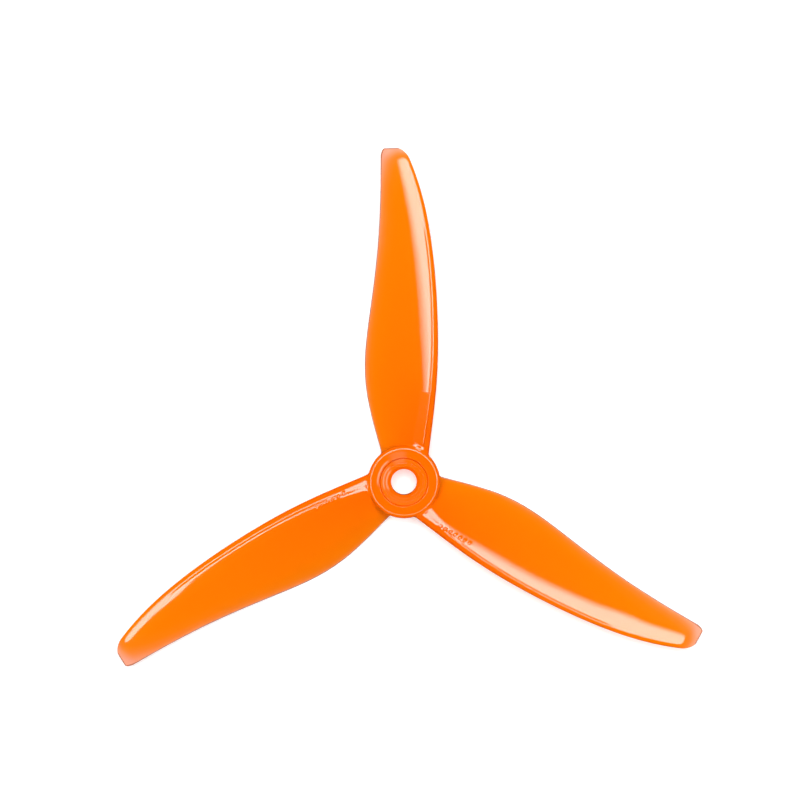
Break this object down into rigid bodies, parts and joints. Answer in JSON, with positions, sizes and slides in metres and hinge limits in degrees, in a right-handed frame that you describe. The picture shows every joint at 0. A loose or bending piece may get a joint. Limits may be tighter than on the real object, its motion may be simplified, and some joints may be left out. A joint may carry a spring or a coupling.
{
  "type": "drone propeller",
  "caption": "Clear orange racing-drone propeller: a round hub with a plain bore carries slim, twisted blades with squared-off tips.",
  "frame": {"origin": "on the bore's axis, in the plane of the hub's lower face, which sits on the motor", "axes": "+Z along the spin axis towards the nut and the airflow's inlet side, +Y along blade_1, leading edges clockwise seen from +Z"},
  "size_m": [0.1136, 0.1007, 0.0074],
  "materials": {
    "plastic": "polished, clear orange polycarbonate"
  },
  "bodies": {
    "root": {"hub": "plastic", "blade_1": "plastic", "blade_2": "plastic", "blade_3": "plastic"}
  },
  "joints": []
}
